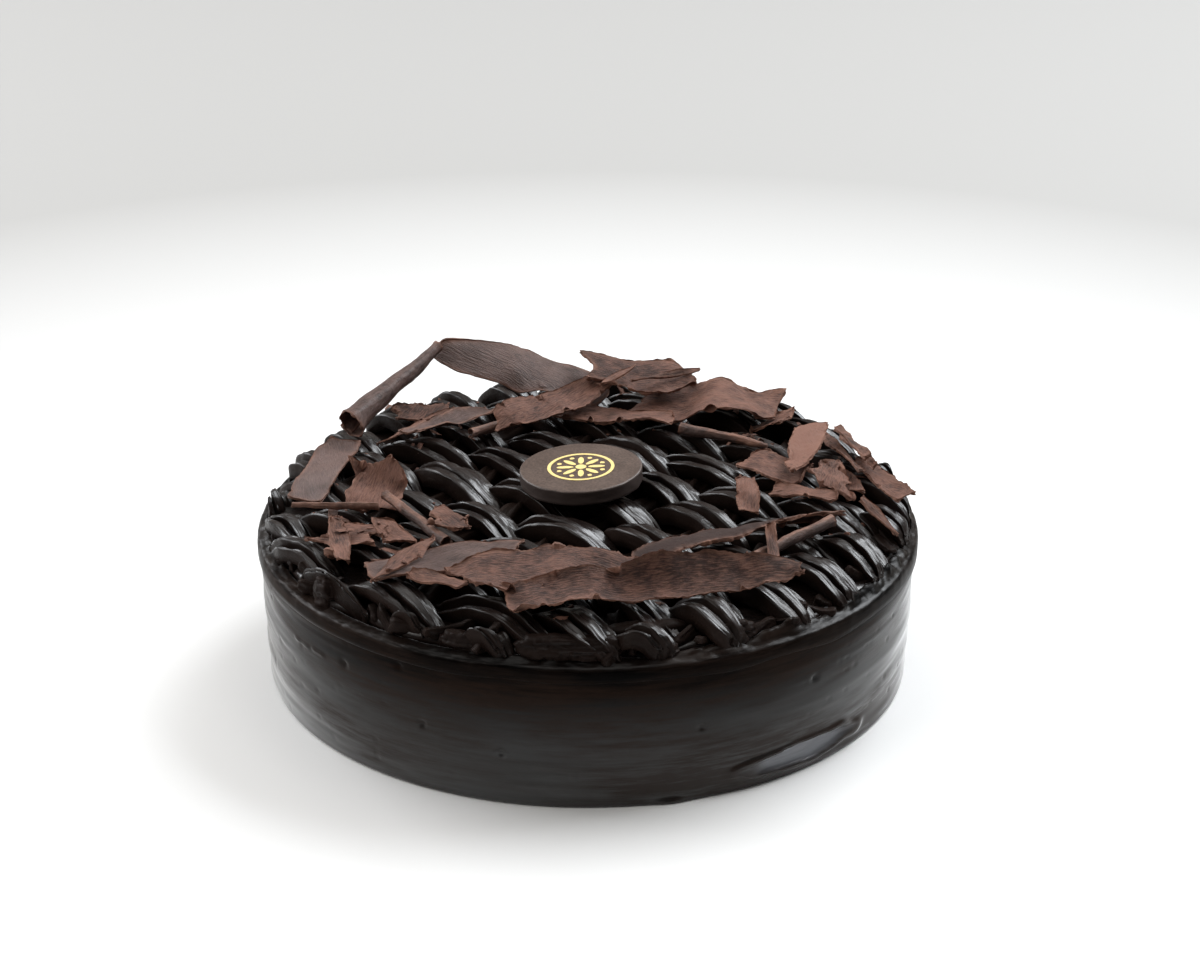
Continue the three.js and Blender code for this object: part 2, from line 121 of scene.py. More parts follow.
# Ropes under the straps, and the layer spread below them
ROPE_RADIUS = 3.9
ROPE_FLUTE = 0.8
ROPE_FLUTES = 5
ROPE_SIDES = 20
ROPE_RINGS = 90
ROPE_HEIGHT = 2.8
ROPE_INSET = 16
ROPE_SWAY = 1.6
ROPE_WAVE = 0.9
SHORTEST_ROPE = 30
SPREAD_RADIUS = 96
SPREAD_TOP = 3
SPREAD_SIDES = 240

# Ganache pulled up over the rim, tall at the front right and left off the shelf at the front left.
# FILM_PATH is a share of the way, a radius and a height. A span is two angles and how long each end eases
FILM_COLUMNS = 720
FILM_ROWS = 14
FILM_THICKNESS = 0.9
FILM_PATH = [(0, 97.8, 45.9), (0.3, 99.2, 46), (0.6, 100.7, 45.8), (0.75, 101.5, 45.6), (0.82, 101.95, 45.2),
             (0.88, 102.1, 44.4), (1, 102.1, 42.4)]
FILM_RISE = 3.4
FILM_LOW = 0.3
FILM_HEM = 2.2
TALL_SPAN = (-80, -10, 12, 14)
SHELF_SPAN = (-160, -104, 10, 10)
SHELF_WIDTH = 3.2

# Dabs of ganache on the rim: angle, radius and height of the middle, then length, depth, height, roughness
DABS = {
    "pressed_block": (-93, 96.3, 49.4, 30, 6, 8.6, 1),
    "upright_dab": (-142, 96.8, 49.5, 8, 6, 11, 1.2),
    "torn_flag": (-64, 96.6, 49.6, 13, 4, 8, 1.1),
    "rim_dab": (-112, 95.6, 48, 13, 6, 6.5, 1),
    "small_dab": (-77, 97, 47.6, 9, 5, 5, 1),
    "side_stroke": (-79, 88.5, 50.5, 24, 6, 6, 0.35),
}

# Torn scraps of piping pushed down along the front rim
SCRAP_COUNT = 38
SCRAP_FROM, SCRAP_TO = -170, -12
SCRAP_SIZES = [(6, 14), (1.6, 3.6), (2, 5)]
SCRAP_RADII = (93.2, 96.8)
SCRAP_LEVELS = (2.2, 4.8)
SCRAP_TURN = 130
SCRAP_TILT = 70
SCRAP_BEND = 0.1
SCRAP_ROUGHNESS = 0.9
SCRAP_SQUARENESS = 0.45
DAB_SQUARENESS = 0.75

# Marks on the side: angle and height of the middle, half width in degrees and half height
SMEAR = (-51, 6.6, 13, 3.7)
SCRATCHES = [(-146.2, 31.6, 2.7), (-141, 32.1, 2)]
PITS = [(-134, 33), (-122, 39), (-71, 24), (-104, 17), (-49, 30), (-118, 22)]
SMEAR_LIP = 1
SMEAR_DEPTH = 0.7
SCRATCH_HEIGHT = 0.4
PIT_DEPTH = 0.9
PIT_WIDTH = 1.1
FOOT_LUMP = (-76, 3.2, 0.9)

# Medallion
MEDALLION_RADIUS = 19
MEDALLION_THICKNESS = 4.8
MEDALLION_TILT = 2.5
MEDALLION_ROUND = 0.6
PRINT_HEIGHT = 0.16
PRINT_SINK = 0.04
ROSETTE_RADIUS = 10.4
ROSETTE_WIDTH = 1.05
ROSETTE_EYE = 1.7
PETAL_COUNT = 8
PETAL_PLACE = 4.9
PETAL_STRETCH = (2.6, 0.92, 1)
DOT_PLACE = 7.2
DOT_RADIUS = 0.75

# Shavings
SHAVING_LEVELS = 4
SHAVING_THINNING = 0.25
TORN_FACE = 1.35
TEAR_REACH = 2.2
FULL_TEAR_WIDTH = 9
SMOOTH_TEAR = 0.3
TONE_SHIFT = -0.12
TONE_SPREAD = 0.3
FOLD_SHADE_AND_MOTTLE = 0.22
EDGE_FADE = 0.55
FOLD_SIZE = (11, 26)
SLENDER_KINDS = ["quill", "stick", "roll", "strip", "sliver"]
GRAIN_SKEW = 60
ARCH_PULL = (-8.5, 0.5, 4.5)

# Look of a shaving: its tone, how deep it folds, how far its sides roll up or down, and 1 if it is smooth
PLAIN_LOOK = (0, 0.6, 0, 0)
LOOKS = {
    "front_long_flake": (-0.17, 4.4, 4, 0), "front_back_flake": (-0.05, 4, 3.4, 0),
    "back_right_flake": (0, 3, 2, 0), "back_long_flake": (0, 2.4, 1.6, 0),
    "back_top_flake": (0, 2.2, 0, 0), "back_middle_flake": (0.15, 2.6, 2, 0),
    # right_curled_strip's low tone is painted shade on its face that stands in shadow
    "left_upright_flake": (0.15, 2.4, 3, 0), "right_curled_strip": (-0.95, 1.6, -3, 0),
    "arch_sheet": (0.2, 2.6, -2.4, 1), "front_left_flake": (0, 2, 0, 1),
    "left_flat_flake": (0.35, 0.6, 0, 1), "left_quill": (-0.1, 0.6, 0, 1),
    "left_thick_quill": (-0.35, 0.6, 0, 1), "right_dark_quill": (-0.4, 0.6, 0, 1),
    "back_right_quill": (-0.3, 0.6, 0, 1), "back_left_half_quill": (0, 0.6, 0, 1),
    "back_left_roll": (0, 0.6, 0, 1), "arch_quill": (0, 0.6, 0, 1),
    "back_dark_stick": (-0.5, 0.6, 0, 0), "right_short_stick": (-0.2, 0.6, 0, 0),
    "right_wedge": (0.6, 0.6, 0, 0), "right_lone_flake": (0.3, 0.6, 0, 0),
    "left_ragged_strip": (0.2, 0.6, 0, 0),
}

# Loose bits that lie on the shavings and the piping: place of a cluster, its spread and its count
BIT_CLUSTERS = [(-66, -34, 11, 26), (-56, -58, 8, 12), (70, 2, 12, 30), (84, 16, 7, 14), (44, -58, 10, 16),
                (14, 64, 16, 22), (58, 48, 12, 20), (-52, 52, 14, 18), (0, -66, 20, 16), (-74, 0, 10, 12)]
BIT_SHORTEST, BIT_LONGEST = 1.6, 6.5
CRUMB_COUNT = 150
CRUMB_RADII = (45, 90)
CRUMB_SIZES = (0.5, 1.4)
BITS_LIE_ON = ["left_ragged", "left_small", "jagged", "splinter"]

# Camera, as worked out from the base and rim of the cake
CAMERA_PLACE = (3.8, -852.2, 431.7)
CAMERA_DROP = 23.6
CAMERA_LENS = 90
CAMERA_SENSOR = 36


# Helpers


def chance(piece, feature):
    """Steady random number from 0 to 1 for a piece and a feature of it."""
    wave = sin(piece * 12.9898 + feature * 78.233) * 43758.5453
    return wave - floor(wave)


def uneven(piece, feature, spread):
    """The same, spread evenly about zero."""
    return (chance(piece, feature) - 0.5) * spread


def drawn(piece, feature, low, high):
    """The same, spread evenly between two limits."""
    return low + (high - low) * chance(piece, feature)


def smooth_step(value, low, high):
    share = np.clip((value - low) / (high - low), 0, 1)
    return share * share * (3 - 2 * share)


def noise(points, size, seed=0):
    """Smooth noise from -1 to 1 at each point. size is that of its bumps, one number or three."""
    cell = points / np.asarray(size, float) + seed * 17.3
    corner = np.floor(cell)
    share = cell - corner
    share = share * share * (3 - 2 * share)
    total = np.zeros(len(points))
    for step in np.ndindex(2, 2, 2):
        weight = np.prod(np.where(step, share, 1 - share), axis=1)
        place = corner + step
        wave = np.sin(place @ (127.1, 311.7, 74.7)) * 43758.5453
        total += weight * (2 * (wave - np.floor(wave)) - 1)
    return total


def relief(points, waves, seed=0):
    """Uneven height at each point, as a sum of waves. The seed is added to that of each wave."""
    return sum(height * noise(points, size, seed + own) for height, size, own in waves)


def pits(points, size, seed, level):
    """Small hollows where a noise is above a level."""
    return np.clip(noise(points, size, seed) - level, 0, 1)


def shake(points, size, seed, step):
    """Three noises at each point, one along each axis."""
    return np.column_stack([noise(points, size, seed + step * axis) for axis in range(3)])


def within(value, span):
    """1 within a span and 0 outside it."""
    start, end, ease_in, ease_out = span
    return smooth_step(value, start, start + ease_in) * (1 - smooth_step(value, end - ease_out, end))


def from_axis(points):
    """How far each point is from the axis, and the level way out from it."""
    radius = np.hypot(points[:, 0], points[:, 1])
    return radius, points * (1, 1, 0) / np.maximum(radius, 1)[:, None]


def make_active(piece):
    """Makes a piece the active one and selects it alone."""
    bpy.ops.object.select_all(action="DESELECT")
    piece.select_set(True)
    bpy.context.view_layer.objects.active = piece


def edit_all(piece):
    """Goes into edit mode with the whole piece selected."""
    make_active(piece)
    bpy.ops.object.mode_set(mode="EDIT")
    bpy.ops.mesh.select_all(action="SELECT")


def leave_edit():
    bpy.ops.object.mode_set(mode="OBJECT")


def drop_uv_maps(piece):
    while piece.data.uv_layers:
        piece.data.uv_layers.remove(piece.data.uv_layers[0])


def copy_of(source, name):
    """A copy of a piece with its own mesh."""
    copy = bpy.data.objects.new(name, source.data.copy())
    bpy.context.collection.objects.link(copy)
    return copy


def apply_modifier(piece, name):
    make_active(piece)
    bpy.ops.object.modifier_apply(modifier=name)


def vertex_vectors(piece, name):
    """A vector of each vertex, such as its place or its normal."""
    flat = np.empty(3 * len(piece.data.vertices))
    piece.data.vertices.foreach_get(name, flat)
    return flat.reshape(-1, 3)


def raw_points(piece):
    return vertex_vectors(piece, "co")


def points_of(piece):
    """The piece's vertices in millimetres."""
    return raw_points(piece) / MM


def set_points(piece, points):
    piece.data.vertices.foreach_set("co", (np.asarray(points) * MM).ravel())
    piece.data.update()


def normals_of(piece):
    return vertex_vectors(piece, "normal")


def set_value(piece, name, values):
    """Stores a number for each vertex, or one for them all, under a name that the materials read."""
    store = piece.data.attributes.new(name, "FLOAT", "POINT")
    store.data.foreach_set("value", np.full(len(piece.data.vertices), values, np.float32))


def set_crown(piece):
    """Stores how far each vertex faces up, where ganache is glossiest."""
    set_value(piece, "crown", smooth_step(normals_of(piece)[:, 2], 0.05, 0.7))


def set_grain(piece, along, across):
    """Stores how far each vertex lies along and across the grain, as a UV map."""
    layer = piece.data.uv_layers.new(name="grain")
    corners = np.empty(len(piece.data.loops), np.int32)
    piece.data.loops.foreach_get("vertex_index", corners)
    pairs = np.column_stack([along[corners], across[corners]])
    layer.uv.foreach_set("vector", pairs.astype(np.float32).ravel())


def finish_piece(piece, material, nodes=()):
    """Gives a piece its material, rides it on the cake and hides the CAD nodes it stands for."""
    piece.data.materials.clear()
    piece.data.materials.append(material)
    make_active(piece)
    bpy.ops.object.shade_smooth()
    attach(piece, "root")
    if nodes:
        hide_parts(*nodes)


def join_pieces(pieces, name):
    make_active(pieces[0])
    for piece in pieces:
        piece.select_set(True)
    bpy.ops.object.join()
    joined = bpy.context.object
    joined.name = name
    return joined


def ringed_bar(name, sides, rings):
    """A closed round bar, one long and one in radius, cut across into rings."""
    bpy.ops.mesh.primitive_cylinder_add(vertices=sides, radius=1, depth=1, end_fill_type="TRIFAN")
    bar = bpy.context.object
    bar.name = name
    bpy.ops.object.mode_set(mode="EDIT")
    bpy.ops.mesh.select_mode(type="EDGE")
    bpy.ops.mesh.select_all(action="DESELECT")
    mesh = bmesh.from_edit_mesh(bar.data)
    for edge in mesh.edges:
        low, high = edge.verts
        edge.select_set(abs(low.co.z - high.co.z) > 0.5)
    bmesh.update_edit_mesh(bar.data)
    bpy.ops.mesh.subdivide(number_cuts=rings - 2)
    leave_edit()
    drop_uv_maps(bar)
    return bar


def bar_places(bar, sides, rings):
    """Which side and ring of a bar each vertex is on, and whether it is the hub of an end."""
    raw = raw_points(bar)
    hub = np.hypot(raw[:, 0], raw[:, 1]) < 0.5
    turn = np.arctan2(raw[:, 1], raw[:, 0]) / (2 * pi)
    side = np.rint(turn * sides).astype(int) % sides
    ring = np.rint((raw[:, 2] + 0.5) * (rings - 1)).astype(int)
    return side, ring, hub


def turned(name, sides, outline):
    """A solid of revolution about Z from [radius, height] pairs that run up from below."""
    outline = np.asarray(outline, float)
    bar = ringed_bar(name, sides, len(outline))
    side, ring, hub = bar_places(bar, sides, len(outline))
    angle = 2 * pi * side / sides
    radius = np.where(hub, 0, outline[ring, 0])
    place = np.column_stack([radius * np.cos(angle), radius * np.sin(angle), outline[ring, 1]])
    set_points(bar, place)
    return bar


def arc(centre, radius, start, end, steps):
    """Points of an arc from one angle to another."""
    angles = np.radians(np.linspace(start, end, steps))
    return [(centre[0] + radius * cos(a), centre[1] + radius * sin(a)) for a in angles]


# Materials


def new_material(name):
    """A material with a Principled shader, and its node tree and shader."""
    material = bpy.data.materials.new(name)
    material.use_nodes = True
    tree = material.node_tree
    return material, tree, tree.nodes["Principled BSDF"]


def fill(node, inputs):
    """Sets each input of a node to a constant or links it to the output of another node."""
    for key, value in inputs.items():
        if isinstance(value, bpy.types.NodeSocket):
            node.id_data.links.new(value, node.inputs[key])
        else:
            node.inputs[key].default_value = value


def add_node(tree, kind, inputs=None, **settings):
    node = tree.nodes.new(kind)
    for key, value in settings.items():
        setattr(node, key, value)
    fill(node, inputs or {})
    return node


def stretched(place, scale):
    """A place on the surface, stretched by a scale along each axis."""
    inputs = {"Vector": place, "Scale": scale}
    return add_node(place.id_data, "ShaderNodeMapping", inputs).outputs["Vector"]


def noise_value(place, scale, detail=3, roughness=0.55):
    inputs = {"Vector": place, "Scale": scale, "Detail": detail, "Roughness": roughness}
    return add_node(place.id_data, "ShaderNodeTexNoise", inputs).outputs["Fac"]


def map_value(value, low, high, new_low, new_high):
    inputs = {"Value": value, "From Min": low, "From Max": high, "To Min": new_low, "To Max": new_high}
    return add_node(value.id_data, "ShaderNodeMapRange", inputs).outputs["Result"]


def combine(operation, first, second):
    inputs = {0: first, 1: second}
    return add_node(first.id_data, "ShaderNodeMath", inputs, operation=operation).outputs["Value"]


def blend(share, first, second):
    """Mixes two colours, each a constant or a socket, by a share from 0 to 1."""
    colours = [(*colour, 1) if isinstance(colour, tuple) else colour for colour in (first, second)]
    inputs = {"Factor": share, 6: colours[0], 7: colours[1]}
    return add_node(share.id_data, "ShaderNodeMix", inputs, data_type="RGBA").outputs[2]


def bump(shader, height, distance, strength):
    inputs = {"Height": height, "Strength": strength, "Distance": distance * MM}
    fill(shader, {"Normal": add_node(height.id_data, "ShaderNodeBump", inputs).outputs["Normal"]})


def stored(tree, name):
    """A number that a piece stores for each vertex."""
    return add_node(tree, "ShaderNodeAttribute", attribute_name=name).outputs["Fac"]


def streak_group():
    """Fine streaks along the first axis of a place: a broad mask and a fine height."""
    group = bpy.data.node_groups.new("fine_streaks", "ShaderNodeTree")
    group.interface.new_socket("Vector", in_out="INPUT", socket_type="NodeSocketVector")
    for name in ("Mask", "Height"):
        group.interface.new_socket(name, in_out="OUTPUT", socket_type="NodeSocketFloat")
    place = add_node(group, "NodeGroupInput").outputs["Vector"]
    broad = noise_value(stretched(place, (0.35, 0.35, 0.35)), 1)
    fine = noise_value(stretched(place, (1.6, 2.6, 2.6)), 1, 5, 0.7)
    add_node(group, "NodeGroupOutput", {"Mask": map_value(broad, 0.3, 0.7, 0, 1), "Height": fine})
    return group


STREAKS = streak_group()


def streaks(place):
    """Mask and height of the fine streaks at a place."""
    node = add_node(place.id_data, "ShaderNodeGroup", node_tree=STREAKS)
    fill(node, {"Vector": place})
    return node.outputs["Mask"], node.outputs["Height"]


def object_place(tree):
    return add_node(tree, "ShaderNodeTexCoord").outputs["Object"]


def grain_place(tree):
    return add_node(tree, "ShaderNodeUVMap", uv_map="grain").outputs["UV"]


def side_ganache_material(name, sheen):
    """Ganache smoothed with a spatula: shiny where pressed, duller and browner in streaks, with a painted
    reflection inside the smeared patch.
    """
    material, tree, shader = new_material(name)
    place = object_place(tree)
    mask, height = streaks(stretched(place, (26, 26, 240)))
    patch = noise_value(stretched(place, (14, 14, 60)), 1, 3)
    fine = map_value(height, 0.35, 0.65, 0.3, 1)
    share = combine("MULTIPLY", fine, map_value(patch, 0.35, 0.65, 0.1, 1))
    share = combine("MULTIPLY", share, map_value(mask, 0, 1, 0.5, 1.2))
    share = map_value(share, 0.08, 0.55, 0, 1)
    colour = blend(share, (0.001, 0.0006, 0.0005), (0.018, 0.0101, 0.007))
    level = add_node(tree, "ShaderNodeSeparateXYZ", {"Vector": place})
    glaze = map_value(level.outputs["Z"], 0.038, 0.005, 0, 1)
    glaze = combine("MULTIPLY", glaze, map_value(share, 0, 1, 1.6, 0.6))
    edge = combine("MULTIPLY", stored(tree, "crown"), map_value(height, 0.4, 0.6, 0, 0.42))
    fill(shader, {
        # the bluish grey inside the smear is a painted reflection, not the ganache's own colour
        "Base Color": blend(stored(tree, "smear"), colour, (0.2, 0.206, 0.225)),
        "Roughness": map_value(share, 0, 1, 0.35, 0.6),
        "IOR": 1.1,
        "Coat Weight": combine("MAXIMUM", glaze, edge),
        "Coat Roughness": 0.3,
        "Coat IOR": 1.5,
        "Sheen Weight": sheen,
        "Sheen Roughness": 0.25,
    })
    bump(shader, height, 0.16, 0.4)
    return material


def piped_ganache_material():
    """Satin ganache with drag lines along each stroke, glossy where it faces up."""
    material, tree, shader = new_material("piped_ganache")
    mask, height = streaks(stretched(grain_place(tree), (0.09, 0.5, 1)))
    glaze = combine("MULTIPLY", stored(tree, "crown"), map_value(mask, 0, 1, 1, 0.5))
    glaze = combine("MULTIPLY", glaze, map_value(height, 0.4, 0.6, 0.35, 1.3))
    fill(shader, {
        "Base Color": blend(mask, (0.009, 0.0054, 0.0043), (0.023, 0.0137, 0.0108)),
        "Roughness": map_value(mask, 0, 1, 0.3, 0.5),
        "IOR": 1.16,
        "Coat Weight": glaze,
        "Coat Roughness": 0.24,
        "Coat IOR": 1.6,
        "Coat Tint": (0.9, 0.95, 1, 1),
    })
    pores = noise_value(object_place(tree), 1100, 3, 0.6)
    bump(shader, combine("ADD", height, combine("MULTIPLY", pores, 0.6)), 0.34, 0.7)
    return material


def shaving_material():
    """Matte chocolate, streaked by the knife, with pale torn edges. Smooth shavings are glossier, and their
    greyer colour is a painted sheen.
    """
    material, tree, shader = new_material("shaved_chocolate")
    mask, height = streaks(stretched(grain_place(tree), (0.2, 0.85, 1)))
    mottle = noise_value(object_place(tree), 160, 6, 0.7)
    smooth = stored(tree, "smooth")
    fibre = map_value(height, 0.36, 0.64, -0.1, 0.8)
    share = combine("ADD", fibre, map_value(mottle, 0.3, 0.7, 0, 0.6))
    # the stored tone carries each shaving's painted fold shade as well as its own tone
    share = combine("ADD", share, stored(tree, "tone"))
    rough_colour = blend(share, (0.03, 0.0118, 0.0079), (0.225, 0.107, 0.075))
    # smooth shavings get a greyer colour: a painted sheen
    painted_sheen_colour = blend(share, (0.046, 0.0255, 0.0205), (0.15, 0.092, 0.078))
    colour = blend(smooth, rough_colour, painted_sheen_colour)
    rim = combine("MULTIPLY", stored(tree, "edge"), map_value(mottle, 0.35, 0.65, 0.25, 1))
    dull = map_value(mask, 0, 1, 0.55, 0.72)
    fill(shader, {
        "Base Color": blend(rim, colour, (0.27, 0.135, 0.092)),
        "Roughness": combine("SUBTRACT", dull, combine("MULTIPLY", smooth, 0.17)),
        "IOR": 1.36,
    })
    bump(shader, height, 0.6, 0.9)
    return material


def medallion_material():
    """Dull chocolate with a fine bloom on top, darker round its side; the top's lighter colour is a painted
    sheen.
    """
    material, tree, shader = new_material("moulded_chocolate")
    place = object_place(tree)
    speck = noise_value(place, 1400, 4, 0.7)
    cloud = noise_value(place, 120, 3)
    share = combine("ADD", speck, combine("MULTIPLY", cloud, 0.2))
    share = map_value(share, 0.48, 0.72, 0, 1)
    face = blend(share, (0.046, 0.027, 0.0195), (0.112, 0.071, 0.053))
    fill(shader, {
        # the top face gets the lighter colour, a painted sheen; the side keeps a darker brown
        "Base Color": blend(stored(tree, "top"), (0.055, 0.039, 0.034), face),
        "Roughness": map_value(cloud, 0.3, 0.7, 0.42, 0.55),
    })
    bump(shader, speck, 0.06, 0.5)
    return material


def gold_material():
    """Pale gold printed on the medallion."""
    material, tree, shader = new_material("gold_print")
    speck = noise_value(object_place(tree), 900, 3)
    fill(shader, {
        "Base Color": blend(speck, (0.80, 0.60, 0.20), (0.95, 0.78, 0.36)),
        "Roughness": 0.42,
    })
    return material


def floor_material():
    """A pale floor, a little darker away from the cake: a painted pool of light round the cake."""
    material, tree, shader = new_material("pale_floor")
    place = object_place(tree)
    far = add_node(tree, "ShaderNodeVectorMath", {"Vector": place}, operation="LENGTH")
    share = map_value(far.outputs["Value"], 0.12, 0.5, 0, 1)
    cloud = noise_value(place, 3, 2)
    pooled_light_colour = blend(cloud, (0.93, 0.925, 0.915), (0.96, 0.955, 0.945))
    fill(shader, {
        # the fade to grey away from the cake is a painted pool of light
        "Base Color": blend(share, pooled_light_colour, (0.42, 0.412, 0.4)),
        "Roughness": 0.6,
    })
    return material


# Body


def body_outline():
    """Half outline of the cake from its foot up the side and over the rim."""
    foot = arc((BASE_RADIUS - FOOT_ROUND, FOOT_ROUND), FOOT_ROUND, -90, -10, 4)
    side_radii = np.linspace(BASE_RADIUS, RIM_RADIUS, SIDE_RINGS)
    side_heights = np.linspace(FOOT_ROUND, SIDE_HEIGHT - RIM_ROUND, SIDE_RINGS)
    rim = arc((RIM_RADIUS - RIM_ROUND, SIDE_HEIGHT - RIM_ROUND), RIM_ROUND, 15, 90, 6)
    shelf = [(radius, SIDE_HEIGHT) for radius in SHELF_RADII]
    return [*foot, *zip(side_radii, side_heights), *rim, *shelf]


def side_marks(angle, height):
    """How far the marks push the side out, and how far it is within the smeared patch, which also masks a
    painted reflection.
    """
    middle, level, half_width, half_height = SMEAR
    around = angle * radians(1) * RIM_RADIUS
    spot = np.column_stack([around, height, np.zeros(len(angle))])
    ring = np.hypot((angle - middle) / half_width, (height - level) / half_height)
    ring += 0.22 * noise(spot, (7, 2.5, 1), 18)
    smear = smooth_step(-ring, -0.95, -0.55)
    push = SMEAR_LIP * np.exp(-((ring - 1) / 0.2) ** 2) - SMEAR_DEPTH * smear
    for middle, level, half_width in SCRATCHES:
        inside = 1 - smooth_step(np.abs(angle - middle), half_width * 0.7, half_width)
        push += SCRATCH_HEIGHT * inside * np.exp(-((height - level) / 0.5) ** 2)
    for middle, level in PITS:
        away = np.hypot(around - middle * radians(1) * RIM_RADIUS, height - level)
        push -= PIT_DEPTH * np.exp(-(away / PIT_WIDTH) ** 2)
    return push, smear


def body_piece(material):
    """The cake under its ganache, with an uneven, marked side and a soft lip at the rim."""
    body = turned("ganache_body", BODY_SIDES, body_outline())
    points = points_of(body)
    radius, outward = from_axis(points)
    angle = np.degrees(np.arctan2(points[:, 1], points[:, 0]))
    on_side = smooth_step(radius, 96, 99.5)
    clear_of_foot = smooth_step(points[:, 2], 0.5, 3)
    marks, smear = side_marks(angle, points[:, 2])
    push = relief(points, SIDE_WAVES) - PORE_DEPTH * pits(points, (2.6, 2.6, 2.2), 12, 0.66) + marks
    lump, lump_width, lump_size = FOOT_LUMP
    foot = lump_size * np.exp(-((angle - lump) / lump_width) ** 2)
    push = push * clear_of_foot + foot * (1 - clear_of_foot)
    points += outward * (push * on_side)[:, None]
    lip = smooth_step(points[:, 2], 43.6, 44.8) * smooth_step(radius, 97, 100)
    points[:, 2] += lip * (LIP_RISE + relief(points, LIP_WAVES))
    set_points(body, points)
    # the smear mask also paints a bluish-grey painted reflection into the side's colour
    set_value(body, "smear", smear * on_side)
    finish_piece(body, material, ["cake_body"])


def film_piece(material):
    """The thin uneven skin of ganache drawn up over the rim."""
    bpy.ops.mesh.primitive_grid_add(x_subdivisions=FILM_COLUMNS, y_subdivisions=FILM_ROWS, size=1)
    film = bpy.context.object
    film.name = "rim_film"
    raw = raw_points(film)
    share = 0.5 - raw[:, 1]
    angle = 360 * raw[:, 0]
    turn = np.radians(angle)
    out = np.column_stack([np.cos(turn), np.sin(turn), np.zeros(len(turn))])
    ring = RIM_RADIUS * out
    shares, radii, heights = np.transpose(FILM_PATH)
    tall = FILM_LOW + (1 - FILM_LOW) * within(angle, TALL_SPAN)
    rise = FILM_RISE * tall * (1 - within(angle, SHELF_SPAN)) * (0.75 + relief(ring, FILM_WAVES))
    height = np.interp(share, shares, heights) + rise * (1 - smooth_step(share, 0.05, 0.7))
    height -= FILM_HEM * smooth_step(share, 0.8, 1) * (0.5 + 0.5 * noise(ring, (16, 16, 60), 15))
    points = out * np.interp(share, shares, radii)[:, None]
    points[:, 2] = height
    points += (out + (0, 0, 1)) * (relief(points, FILM_ROUGHNESS) * (1 - share))[:, None]
    set_points(film, points)
    edit_all(film)
    bpy.ops.mesh.remove_doubles(threshold=0.01 * MM)
    bpy.ops.mesh.normals_make_consistent(inside=False)
    leave_edit()
    skin = film.modifiers.new("skin", "SOLIDIFY")
    skin.thickness = FILM_THICKNESS * MM
    skin.offset = 0
    apply_modifier(film, "skin")
    set_crown(film)
    finish_piece(film, material)


def lump_points(unit, size, roughness, squareness, seed):
    """A rounded block with layers, cracks and pits, about its own middle."""
    block = np.sign(unit) * np.abs(unit) ** squareness * np.array(size) / 2
    tear = relief(block, LUMP_WAVES, seed) - LUMP_PIT_DEPTH * pits(block, (2.4, 2.4, 1.6), seed + 3, 0.45)
    return block + unit * (roughness * tear)[:, None]


def place_on_rim(block, angle, radius, level):
    """Bends a block to the curve of the cake and sets it at an angle, radius and height."""
    turn = radians(angle)
    out = np.array([cos(turn), sin(turn), 0])
    side = np.array([-sin(turn), cos(turn), 0])
    bend = block[:, 0] ** 2 / (2 * radius)
    middle = out * radius + np.array([0, 0, level])
    points = middle + np.outer(block[:, 0], side) + np.outer(block[:, 1] - bend, out)
    points[:, 2] += block[:, 2]
    points[:, 2] = np.maximum(points[:, 2], WEAVE_FLOOR + 0.1)
    return points


def round_block(name, levels):
    """A ball of triangles, ready to be shaped."""
    bpy.ops.mesh.primitive_ico_sphere_add(subdivisions=levels, radius=1)
    ball = bpy.context.object
    ball.name = name
    drop_uv_maps(ball)
    return ball


def dab_piece(name, material):
    """A dab of ganache pressed onto the rim."""
    angle, radius, level, length, depth, height, roughness = DABS[name]
    dab = round_block(name, 6)
    seed = int(abs(angle))
    block = lump_points(raw_points(dab), (length, depth, height), roughness, DAB_SQUARENESS, seed)
    set_points(dab, place_on_rim(block, angle, radius, level))
    set_grain(dab, block[:, 0], block[:, 2] + 40 * seed)
    set_crown(dab)
    finish_piece(dab, material)


def rim_scraps(material):
    """Torn ends of strokes that lie every way along the front rim."""
    source = round_block("rim_scrap", 4)
    unit = raw_points(source)
    scraps = []
    for number in range(SCRAP_COUNT):
        scrap = copy_of(source, "rim_scrap")
        size = [drawn(number, 73 + axis, *limits) for axis, limits in enumerate(SCRAP_SIZES)]
        block = lump_points(unit, size, SCRAP_ROUGHNESS, SCRAP_SQUARENESS, 200 + 5 * number)
        block[:, 2] += block[:, 0] ** 2 * uneven(number, 79, SCRAP_BEND)
        lie = Matrix.Rotation(radians(uneven(number, 77, SCRAP_TURN)), 3, "Z")
        lie = lie @ Matrix.Rotation(radians(uneven(number, 78, SCRAP_TILT)), 3, "Y")
        angle = SCRAP_FROM + (SCRAP_TO - SCRAP_FROM) * (number + chance(number, 71)) / SCRAP_COUNT
        radius = drawn(number, 72, *SCRAP_RADII)
        level = WEAVE_FLOOR + drawn(number, 76, *SCRAP_LEVELS)
        set_points(scrap, place_on_rim(block @ np.array(lie).T, angle, radius, level))
        set_grain(scrap, block[:, 0], 2 * block[:, 1] + block[:, 2] + 30 * number)
        scraps.append(scrap)
    bpy.data.objects.remove(source)
    joined = join_pieces(scraps, "rim_scraps")
    set_crown(joined)
    finish_piece(joined, material)


# Piped weave


